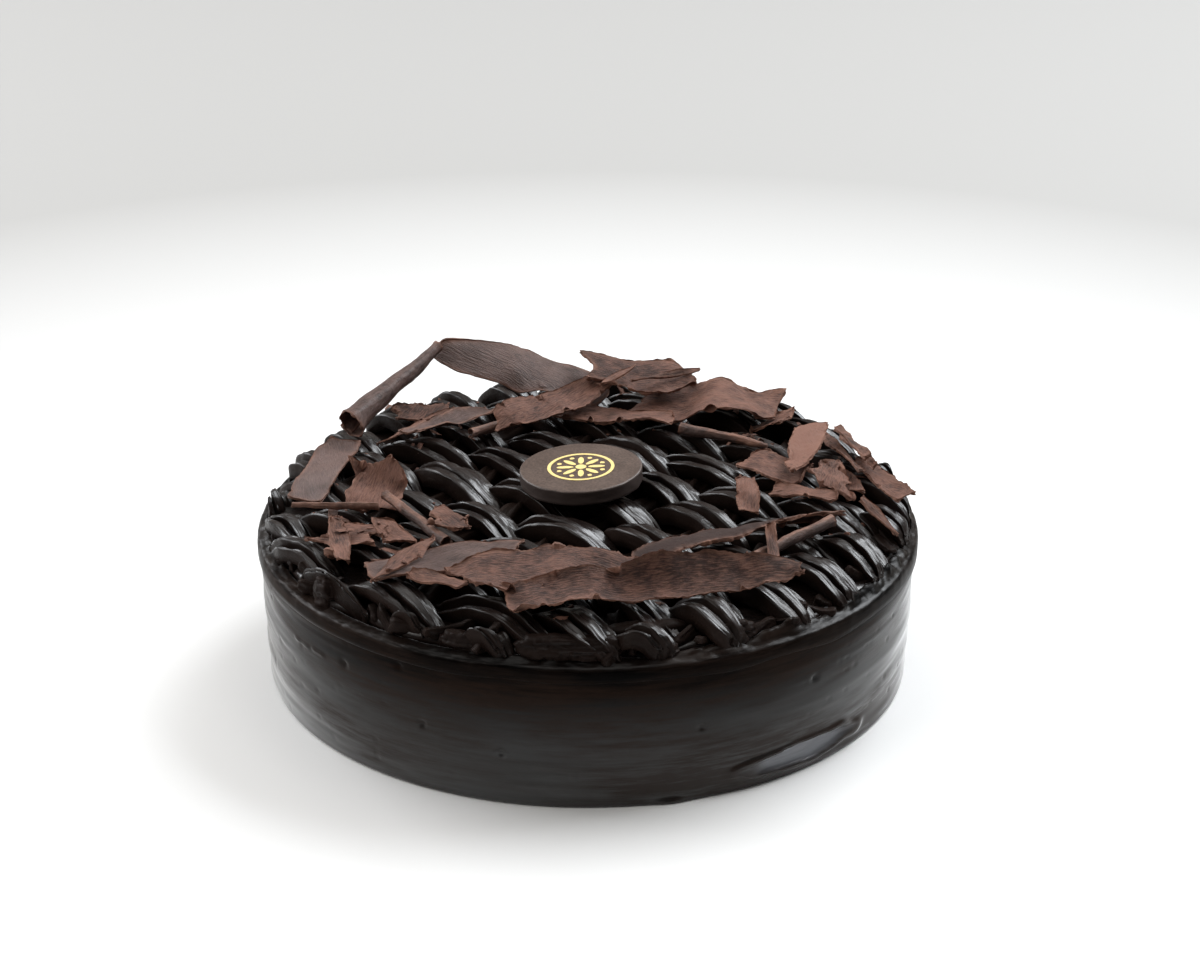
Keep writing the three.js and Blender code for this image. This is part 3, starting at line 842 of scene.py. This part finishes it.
def strap_layout():
    """Every strap as its number, its start and end along its row, and its place across the rows."""
    straps = []
    for column in range(-WEAVE_COUNT, WEAVE_COUNT + 1):
        centre = COLUMN_START + column * COLUMN_PITCH
        stagger = 0 if column % 2 == 0 else STRAP_PITCH / 2
        for row in range(-WEAVE_COUNT, WEAVE_COUNT + 1):
            across = row * STRAP_PITCH + stagger
            piece = (column + WEAVE_COUNT) * (2 * WEAVE_COUNT + 1) + row + WEAVE_COUNT
            half = (STRAP_LENGTH + uneven(piece, 1, LENGTH_SPREAD)) / 2
            reach = WEAVE_RADIUS + RIM_OVERRUN
            chord = sqrt(max(0, reach ** 2 - across ** 2))
            start = max(centre - half, -chord)
            end = min(centre + half, chord)
            if end - start > SHORTEST_STRAP:
                straps.append((piece, start, end, across))
    return straps


def lay_on_top(along, across, up):
    """Turns places along and across the rows into the cake's own axes, lower towards the rim."""
    heading = radians(STRAP_HEADING)
    x = cos(heading) * along - sin(heading) * across
    y = sin(heading) * along + cos(heading) * across
    radius = np.hypot(x, y)
    angle = np.degrees(np.arctan2(y, x))
    rim = WEAVE_RADIUS - RIM_SQUEEZE - SHELF_WIDTH * within(angle, SHELF_SPAN)
    squeezed = rim + RIM_SQUEEZE * (1 - np.exp(-(radius - rim) / RIM_SQUEEZE))
    inside = np.where(radius > rim, squeezed, radius)
    shrink = inside / np.maximum(radius, 1)
    fall = 1 - EDGE_DROP * smooth_step(radius, EDGE_START, WEAVE_RADIUS)
    return np.column_stack([x * shrink, y * shrink, WEAVE_FLOOR + up * fall])


def strap_section():
    """Outline of a strap: the banded top from left to right, then down round its underside.
    Each row is a place across, a height, and the ridge it belongs to."""
    rows = []
    for ridge, top in zip((-1, 0, 1), RIDGE_TOPS):
        for place, share in RIDGE_PROFILE:
            rows.append((ridge * RIDGE_PITCH + place, FLUTE_FLOOR + (top - FLUTE_FLOOR) * share, ridge))
    edge = RIDGE_PITCH + STRAP_FLANK
    rows += [(edge * 0.98, -STRAP_BODY * 0.7, 1), (edge * 0.6, -STRAP_BODY, 1)]
    rows += [(FLANK_UNDERCUT - edge, -STRAP_BODY, -1), (FLANK_UNDERCUT - edge, -STRAP_BODY * 0.8, -1)]
    return np.array(rows)


def strap_points(strap, side, share, section):
    """Places of a strap's vertices. side picks the point of the section and share runs from -1 to 1."""
    piece, start, end, centre_across = strap
    length = end - start
    fullness = min(1, length / STRAP_LENGTH) ** SHORT_POWER
    arch = STRAP_ARCH * fullness + uneven(piece, 2, ARCH_SPREAD)
    turn = radians(uneven(piece, 3, TURN_SPREAD))
    shift_along = (start + end) / 2 + uneven(piece, 4, PLACE_SPREAD)
    shift_across = centre_across + uneven(piece, 5, PLACE_SPREAD)
    lean = uneven(piece, 7, LEAN_SPREAD)
    x, y, ridge = section[side].T
    slip = np.choose((ridge + 1).astype(int), [uneven(piece, 10 + i, 2 * RIDGE_SLIP) for i in range(3)])
    grow = np.choose((ridge + 1).astype(int), [1 + uneven(piece, 20 + i, RIDGE_SPREAD) for i in range(3)])
    moved = np.clip(np.abs(share + slip * (1 - share ** 2)), 0, 1)
    height = arch * (1 - moved ** STRAP_POWER) - END_DIP * moved ** STRAP_POWER + END_TILT * share
    tall = np.where(y > 0, y * np.minimum(grow, 1.05), y)
    narrow = 1 - (1 - END_WIDTH) * np.abs(share) ** END_POWER
    s = share * length / 2
    t = x * narrow + lean * tall
    along = s * cos(turn) - t * sin(turn) + shift_along
    across = s * sin(turn) + t * cos(turn) + shift_across
    points = lay_on_top(along, across, height + tall)
    points[:, 2] = np.maximum(points[:, 2], WEAVE_FLOOR + 0.2)
    torn = 0.2 + 0.6 * smooth_step(np.abs(share), 0.75, 1)
    sway = STRAP_WOBBLE * shake(points, 7, piece, 3) + torn[:, None] * shake(points, 2.6, piece, 5)
    strand = np.column_stack([s / 4, x * 3, np.zeros(len(s))])
    points[:, 2] += STRAP_STRAND * noise(strand, 1, piece) * (y > 0)
    tatter = STRAP_TATTER * shake(points, 1.5, piece, 7)
    points += tatter * smooth_step(np.abs(share), 0.84, 0.96)[:, None]
    return points + sway * smooth_step(height, -1, 3)[:, None]


def straps_piece(material):
    """All the straps of the weave, as one piece."""
    section = strap_section()
    sides = len(section)
    bar = ringed_bar("piped_straps", sides, STRAP_RINGS)
    side, ring, hub = bar_places(bar, sides, STRAP_RINGS)
    share = 2 * ring / (STRAP_RINGS - 1) - 1
    middle = np.append(section, [[0, -STRAP_BODY / 2, 0]], axis=0)
    spot = np.where(hub, sides, (sides - side) % sides)
    straps = []
    for strap in strap_layout():
        number, start, end, _ = strap
        copy = copy_of(bar, "piped_strap")
        set_points(copy, strap_points(strap, spot, share, middle))
        set_grain(copy, share * (end - start) / 2, np.where(hub, 0, spot) * 1.1 + 60 * number)
        straps.append(copy)
    bpy.data.objects.remove(bar)
    weave = join_pieces(straps, "piped_straps")
    set_crown(weave)
    finish_piece(weave, material, ["piped_weave"])
    return weave


def ropes_piece(material):
    """Ropes that run across under the straps and show dark between them."""
    bar = ringed_bar("piped_ropes", ROPE_SIDES, ROPE_RINGS)
    side, ring, hub = bar_places(bar, ROPE_SIDES, ROPE_RINGS)
    share = 2 * ring / (ROPE_RINGS - 1) - 1
    angle = 2 * pi * side / ROPE_SIDES
    radius = np.where(hub, 0, ROPE_RADIUS + ROPE_FLUTE * np.cos(ROPE_FLUTES * angle))
    ropes = []
    for column in range(-WEAVE_COUNT, WEAVE_COUNT + 1):
        centre = COLUMN_START + column * COLUMN_PITCH
        room = (SPREAD_RADIUS - ROPE_INSET) ** 2 - centre ** 2
        if room < SHORTEST_ROPE ** 2:
            continue
        rope = copy_of(bar, "piped_rope")
        across = share * sqrt(room)
        along = centre + ROPE_SWAY * np.sin(across / 9 + column)
        rise = ROPE_HEIGHT + ROPE_WAVE * np.sin(across / 6.1 + 2 * column)
        twist = angle + across / 14
        points = lay_on_top(along + radius * np.cos(twist), across, rise + radius * np.sin(twist))
        set_points(rope, points + 0.3 * shake(points, 5, 40 + column, 3))
        set_grain(rope, across, side * 1.2 + 90 * column)
        ropes.append(rope)
    bpy.data.objects.remove(bar)
    joined = join_pieces(ropes, "piped_ropes")
    set_crown(joined)
    finish_piece(joined, material)


def spread_piece(material):
    """The uneven layer of ganache that the piping stands on."""
    edge_radii = [SPREAD_RADIUS + 0.8, SPREAD_RADIUS + 1.2, SPREAD_RADIUS + 0.4]
    edge_heights = [WEAVE_FLOOR + SPREAD_TOP * share for share in (0, 0.45, 0.9)]
    inner = np.linspace(SPREAD_RADIUS - 1.2, 4, 46)
    outline = [*zip(edge_radii, edge_heights), *((radius, WEAVE_FLOOR + SPREAD_TOP) for radius in inner)]
    spread = turned("spread_layer", SPREAD_SIDES, outline)
    points = points_of(spread)
    radius, outward = from_axis(points)
    edge = smooth_step(radius, SPREAD_RADIUS - 14, SPREAD_RADIUS)
    points += outward * (edge * 1.6 * noise(points, (9, 9, 60), 6))[:, None]
    lift = smooth_step(points[:, 2], WEAVE_FLOOR, WEAVE_FLOOR + SPREAD_TOP)
    points[:, 2] += lift * relief(points, SPREAD_WAVES)
    set_points(spread, points)
    set_grain(spread, points[:, 0], points[:, 1])
    set_crown(spread)
    finish_piece(spread, material)


# Medallion


def medallion_place():
    """Takes a piece modelled about the middle of the medallion to where that lies."""
    low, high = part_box("medallion")
    centre = (Vector(low) + Vector(high)) / 2
    return Matrix.Translation(centre) @ Matrix.Rotation(radians(-MEDALLION_TILT), 4, "Y")


def medallion_piece(material):
    """The disc, with a rounded upper edge and a slightly rough side."""
    half = MEDALLION_THICKNESS / 2
    rim = MEDALLION_RADIUS
    corner = MEDALLION_ROUND
    outline = [(rim - corner, -half), (rim - 0.15, 0.2 - half), (rim, 0.7 - half)]
    outline += [(rim, z) for z in np.linspace(1 - half, half - 0.8, 8)]
    outline += arc((rim - corner, half - corner), corner, 5, 90, 5)
    outline += [(radius, half) for radius in np.linspace(rim - 1, 1, 16)]
    disc = turned("medallion_disc", 128, outline)
    points = points_of(disc)
    radius, outward = from_axis(points)
    points += outward * (smooth_step(radius, rim - 1, rim) * relief(points, MEDALLION_WAVES))[:, None]
    points[:, 2] += 0.05 * noise(points, (6, 6, 6), 11)
    set_points(disc, points)
    set_value(disc, "top", smooth_step(points[:, 2], half - 0.5, half - 0.1))
    disc.data.transform(medallion_place())
    finish_piece(disc, material, ["medallion"])


def flat_disc(radius, place=(0, 0), vertices=24, stretch=(1, 1, 1), turn=0):
    """A flat disc, stretched and turned about its own middle."""
    at = (place[0] * MM, place[1] * MM, 0)
    bpy.ops.mesh.primitive_circle_add(vertices=vertices, radius=radius * MM, location=at, fill_type="NGON")
    disc = bpy.context.object
    disc.scale = stretch
    disc.rotation_euler.z = turn
    bpy.ops.object.transform_apply(location=True, rotation=True, scale=True)
    return disc


def flat_ring(radius, width):
    """A thin flat ring: a disc inset from its edge, with the middle taken out."""
    ring = flat_disc(radius, vertices=96)
    edit_all(ring)
    bpy.ops.mesh.inset(thickness=width * MM)
    bpy.ops.mesh.delete(type="FACE")
    leave_edit()
    return ring


def gold_print(material):
    """A small rosette: a thin ring, slender petals, and dots between them and in the middle."""
    marks = [flat_ring(ROSETTE_RADIUS, ROSETTE_WIDTH), flat_disc(ROSETTE_EYE)]
    for petal in range(PETAL_COUNT):
        angle = 2 * pi * petal / PETAL_COUNT
        between = angle + pi / PETAL_COUNT
        middle = (PETAL_PLACE * cos(angle), PETAL_PLACE * sin(angle))
        marks.append(flat_disc(1, middle, stretch=PETAL_STRETCH, turn=angle))
        marks.append(flat_disc(DOT_RADIUS, (DOT_PLACE * cos(between), DOT_PLACE * sin(between)), 16))
    design = join_pieces(marks, "gold_rosette")
    edit_all(design)
    lift = {"value": (0, 0, PRINT_HEIGHT * MM)}
    bpy.ops.mesh.extrude_region_move(TRANSFORM_OT_translate=lift)
    bpy.ops.mesh.select_all(action="SELECT")
    bpy.ops.mesh.normals_make_consistent(inside=False)
    leave_edit()
    rise = Matrix.Translation((0, 0, (MEDALLION_THICKNESS / 2 - PRINT_SINK) * MM))
    design.data.transform(medallion_place() @ rise)
    finish_piece(design, material)
    bpy.ops.object.shade_smooth_by_angle(angle=radians(40))


# Shavings


def sheet_copy(node, name):
    """A copy of a shaving's solid, with its corners merged and its triangles paired."""
    piece = copy_of(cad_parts[node], name)
    edit_all(piece)
    bpy.ops.mesh.remove_doubles(threshold=0.02 * MM)
    bpy.ops.mesh.tris_convert_to_quads(face_threshold=radians(50), shape_threshold=radians(175))
    leave_edit()
    drop_uv_maps(piece)
    return piece


def mark_rim(piece):
    """Creases the torn edge of a sheet and marks its narrow faces with material index 1."""
    mesh = bmesh.new()
    mesh.from_mesh(piece.data)
    crease = mesh.edges.layers.float.new("crease_edge")
    corner = mesh.verts.layers.float.new("crease_vert")
    for face in mesh.faces:
        lengths = sorted(edge.calc_length() for edge in face.edges)
        face.material_index = 1 if lengths[1] < TORN_FACE * MM else 0
    for edge in mesh.edges:
        kinds = {face.material_index for face in edge.link_faces}
        edge[crease] = 0.9 if len(kinds) == 2 else 0
    for vertex in mesh.verts:
        kinds = {face.material_index for face in vertex.link_faces}
        vertex[corner] = 0.75 if len(kinds) == 2 else 0
    mesh.to_mesh(piece.data)
    mesh.free()


def rim_directions(piece):
    """Which vertices lie on the torn edge, and which way out of the sheet each of them points."""
    out = np.zeros((len(piece.data.vertices), 3))
    for face in piece.data.polygons:
        if face.material_index == 1:
            for corner in face.vertices:
                out[corner] += np.array(face.normal) * face.area
    size = np.linalg.norm(out, axis=1)
    rim = size > 0
    out[rim] /= size[rim][:, None]
    return rim, out


def nearest_rim(points, rim):
    """The nearest vertex of the torn edge to each point, and how far it is."""
    edge = np.flatnonzero(rim)
    tree = KDTree(len(edge))
    for number in edge:
        tree.insert(points[number], number)
    tree.balance()
    found = [tree.find(point) for point in points]
    return np.array([hit[1] for hit in found]), np.array([hit[2] for hit in found])


def grain_axes(points, skew):
    """Places along and across the knife's strokes, and the way the sheet faces."""
    centred = points - points.mean(axis=0)
    _, vectors = np.linalg.eigh(centred.T @ centred)
    along = centred @ vectors[:, 2]
    across = centred @ vectors[:, 1]
    face = vectors[:, 0] * (1 if vectors[2, 0] > 0 else -1)
    return along * cos(skew) - across * sin(skew), along * sin(skew) + across * cos(skew), face


def tear_edge(points, rim, out, number, ragged):
    """Moves the torn edge in and out, with the sheet behind it following."""
    nearest, away = nearest_rim(points, rim)
    depth = relief(points, TEAR_WAVES, number) - NOTCH_DEPTH * pits(points, 3, number + 90, 0.45)
    depth = ragged * np.clip(depth, -2.6, 1)
    pull = np.exp(-away / TEAR_REACH)
    moved = points + out[nearest] * (depth[nearest] * pull)[:, None]
    return moved, away


def shaving_piece(node, number, material):
    """A shaving: the sheet of its solid, rounded, torn at the edge, folded, rolled and streaked."""
    kind = node.replace("shaving_", "")
    piece = sheet_copy(node, "curl_" + kind)
    mark_rim(piece)
    rounding = piece.modifiers.new("rounding", "SUBSURF")
    rounding.levels = SHAVING_LEVELS
    rounding.render_levels = SHAVING_LEVELS
    apply_modifier(piece, "rounding")
    points = points_of(piece) - SHAVING_THINNING * normals_of(piece)
    slender = any(word in kind for word in SLENDER_KINDS)
    along, across, face = grain_axes(points, 0 if slender else radians(uneven(number, 5, GRAIN_SKEW)))
    tone, depth, roll, smooth = LOOKS.get(kind, PLAIN_LOOK)
    breadth = min(1, np.ptp(across) / FULL_TEAR_WIDTH)
    rim, out = rim_directions(piece)
    points, away = tear_edge(points, rim, out, number, breadth * (SMOOTH_TEAR if smooth else 1))
    lengthwise = np.column_stack([along / FOLD_SIZE[0], across / FOLD_SIZE[1], np.zeros(len(points))])
    fold = noise(lengthwise, 1, number + 150)
    curl = 0.7 * noise(points, 10, number + 100) * np.exp(-away / 2.5)
    curl += depth * fold + 0.35 * noise(points, 4.5, number + 160)
    points += face * (breadth * curl + roll * (2 * across / np.ptp(across)) ** 2)[:, None]
    points += normals_of(piece) * (0.06 * noise(points, 1.4, number + 170))[:, None]
    if kind == "arch_sheet":
        end = 1 - smooth_step(points[:, 0], -42, -26)
        points += np.outer(end, ARCH_PULL)
    set_points(piece, points)
    set_grain(piece, along, across)
    tone += uneven(number, 3, TONE_SPREAD) + TONE_SHIFT
    # the fold term is painted shade, darker in the troughs of the folds and lighter on their crests; the
    # finer noise is random mottle
    set_value(piece, "tone", tone + FOLD_SHADE_AND_MOTTLE * (fold + noise(points, 3.2, number + 180)))
    set_value(piece, "edge", np.exp(-away / EDGE_FADE))
    set_value(piece, "smooth", smooth)
    finish_piece(piece, material, [node])
    piece.data.polygons.foreach_set("material_index", np.zeros(len(piece.data.polygons), np.int32))
    bpy.ops.object.shade_smooth_by_angle(angle=radians(40))
    return piece


def surface_trees(pieces):
    """Search trees of finished pieces, to find what lies below a place."""
    graph = bpy.context.evaluated_depsgraph_get()
    return [BVHTree.FromObject(piece, graph) for piece in pieces]


def top_place(trees, x, y):
    """The highest point of the pieces at a place, and the way the surface faces there."""
    start = Vector((x * MM, y * MM, 0.1))
    hits = [tree.ray_cast(start, Vector((0, 0, -1))) for tree in trees]
    hits = [hit for hit in hits if hit[0] is not None]
    if not hits:
        return None
    best = max(hits, key=lambda hit: hit[0].z)
    return best[0], best[1]


def loose_bit(source, piece, place, facing, size):
    """One broken bit: a block, squeezed and skewed by chance, that lies on the surface."""
    bit = copy_of(source, "loose_bit")
    raw = raw_points(bit)
    skew = np.array([[uneven(piece, 30 + 3 * v + i, 0.8) for i in range(3)] for v in range(len(raw))])
    block = (raw + skew * (1, 1, 0.3)) * size
    up = (Vector(facing) + Vector((uneven(piece, 61, 0.7), uneven(piece, 62, 0.7), 0.3))).normalized()
    turn = up.to_track_quat("Z", "Y").to_matrix() @ Matrix.Rotation(2 * pi * chance(piece, 63), 3, "Z")
    points = block @ np.array(turn).T + np.array(place) / MM + np.array(up) * size[2] * 0.3
    set_points(bit, points)
    set_grain(bit, points[:, 0], points[:, 1])
    set_value(bit, "tone", uneven(piece, 64, 0.7))
    set_value(bit, "edge", 0.25 * chance(piece, 65))
    set_value(bit, "smooth", 0)
    return bit


def loose_bits(material, trees):
    """Chips and crumbs of chocolate in clusters round the shavings."""
    bpy.ops.mesh.primitive_cube_add(size=1)
    source = bpy.context.object
    drop_uv_maps(source)
    wanted = []
    for x, y, spread, count in BIT_CLUSTERS:
        for _ in range(count):
            number = len(wanted)
            length = BIT_SHORTEST + (BIT_LONGEST - BIT_SHORTEST) * chance(number, 50) ** 2
            size = (length, length * drawn(number, 51, 0.15, 0.55), drawn(number, 52, 0.25, 0.55))
            reach = spread * sqrt(chance(number, 53)) * 1.4
            angle = 2 * pi * chance(number, 54)
            wanted.append((x + reach * cos(angle), y + reach * sin(angle), size))
    for _ in range(CRUMB_COUNT):
        number = len(wanted)
        angle = 2 * pi * chance(number, 55)
        reach = drawn(number, 56, *CRUMB_RADII)
        grain = drawn(number, 57, *CRUMB_SIZES)
        wanted.append((reach * cos(angle), reach * sin(angle), (grain, grain * 0.8, grain * 0.6)))
    bits = []
    for number, (x, y, size) in enumerate(wanted):
        found = top_place(trees, x, y)
        if found:
            bits.append(loose_bit(source, number, *found, size))
    bpy.data.objects.remove(source)
    joined = join_pieces(bits, "loose_bits")
    finish_piece(joined, material)
    bpy.ops.object.shade_smooth_by_angle(angle=radians(30))


# Stage, light and camera


def stage():
    bpy.ops.mesh.primitive_plane_add(size=8)
    ground = bpy.context.object
    ground.name = "pale_floor"
    ground.data.materials.append(floor_material())


def area_light(name, place, size, power, colour):
    """A soft light of a given width and height that looks at the middle of the cake."""
    light = bpy.data.lights.new(name, "AREA")
    light.shape = "RECTANGLE"
    light.size, light.size_y = size
    light.energy = power
    light.color = colour
    lamp = bpy.data.objects.new(name, light)
    bpy.context.collection.objects.link(lamp)
    lamp.location = place
    aim = Vector((0, 0, 0.05)) - Vector(place)
    lamp.rotation_euler = aim.to_track_quat("-Z", "Y").to_euler()


def light_up():
    """A dim room, paler behind the cake, with soft light from above, two windows and a fill."""
    world = bpy.data.worlds.new("soft_room")
    bpy.context.scene.world = world
    world.use_nodes = True
    tree = world.node_tree
    around = add_node(tree, "ShaderNodeTexCoord").outputs["Generated"]
    way = add_node(tree, "ShaderNodeSeparateXYZ", {"Vector": around})
    share = map_value(way.outputs["Y"], -0.5, 1, 0, 1)
    colour = blend(share, (0.07, 0.07, 0.07), (0.3, 0.285, 0.26))
    fill(tree.nodes["Background"], {"Color": colour})
    area_light("overhead", (0.1, 0.25, 1.7), (2.2, 2.2), 15, (1.0, 0.99, 0.97))
    area_light("window", (1.05, 0.85, 1.35), (1.6, 0.9), 40, (0.92, 0.96, 1.0))
    area_light("fill", (-1.25, -0.7, 1.15), (0.9, 0.9), 6, (1.0, 0.98, 0.95))
    area_light("left_window", (-1.3, 0.75, 0.8), (1.4, 0.9), 22, (0.95, 0.97, 1.0))
    bpy.context.scene.view_settings.view_transform = "Standard"


def place_camera():
    camera = bpy.data.cameras.new("photo_camera")
    camera.lens = CAMERA_LENS
    camera.sensor_width = CAMERA_SENSOR
    camera.sensor_fit = "HORIZONTAL"
    camera.clip_start = 0.01
    eye = bpy.data.objects.new("photo_camera", camera)
    bpy.context.collection.objects.link(eye)
    eye.location = [value * MM for value in CAMERA_PLACE]
    eye.rotation_euler = (radians(90 - CAMERA_DROP), 0, 0)
    bpy.context.scene.camera = eye


def build_cake():
    piping = piped_ganache_material()
    body_piece(side_ganache_material("smoothed_ganache", 1))
    film_piece(side_ganache_material("rim_ganache", 0.2))
    spread_piece(piping)
    ropes_piece(piping)
    weave = straps_piece(piping)
    for name in DABS:
        dab_piece(name, piping)
    rim_scraps(piping)
    medallion_piece(medallion_material())
    gold_print(gold_material())
    chocolate = shaving_material()
    names = sorted(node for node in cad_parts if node.startswith("shaving_"))
    shavings = [shaving_piece(node, number, chocolate) for number, node in enumerate(names)]
    rough_ones = [piece for piece in shavings if any(word in piece.name for word in BITS_LIE_ON)]
    loose_bits(chocolate, surface_trees([weave, *rough_ones]))


place_camera()
light_up()
stage()
build_cake()
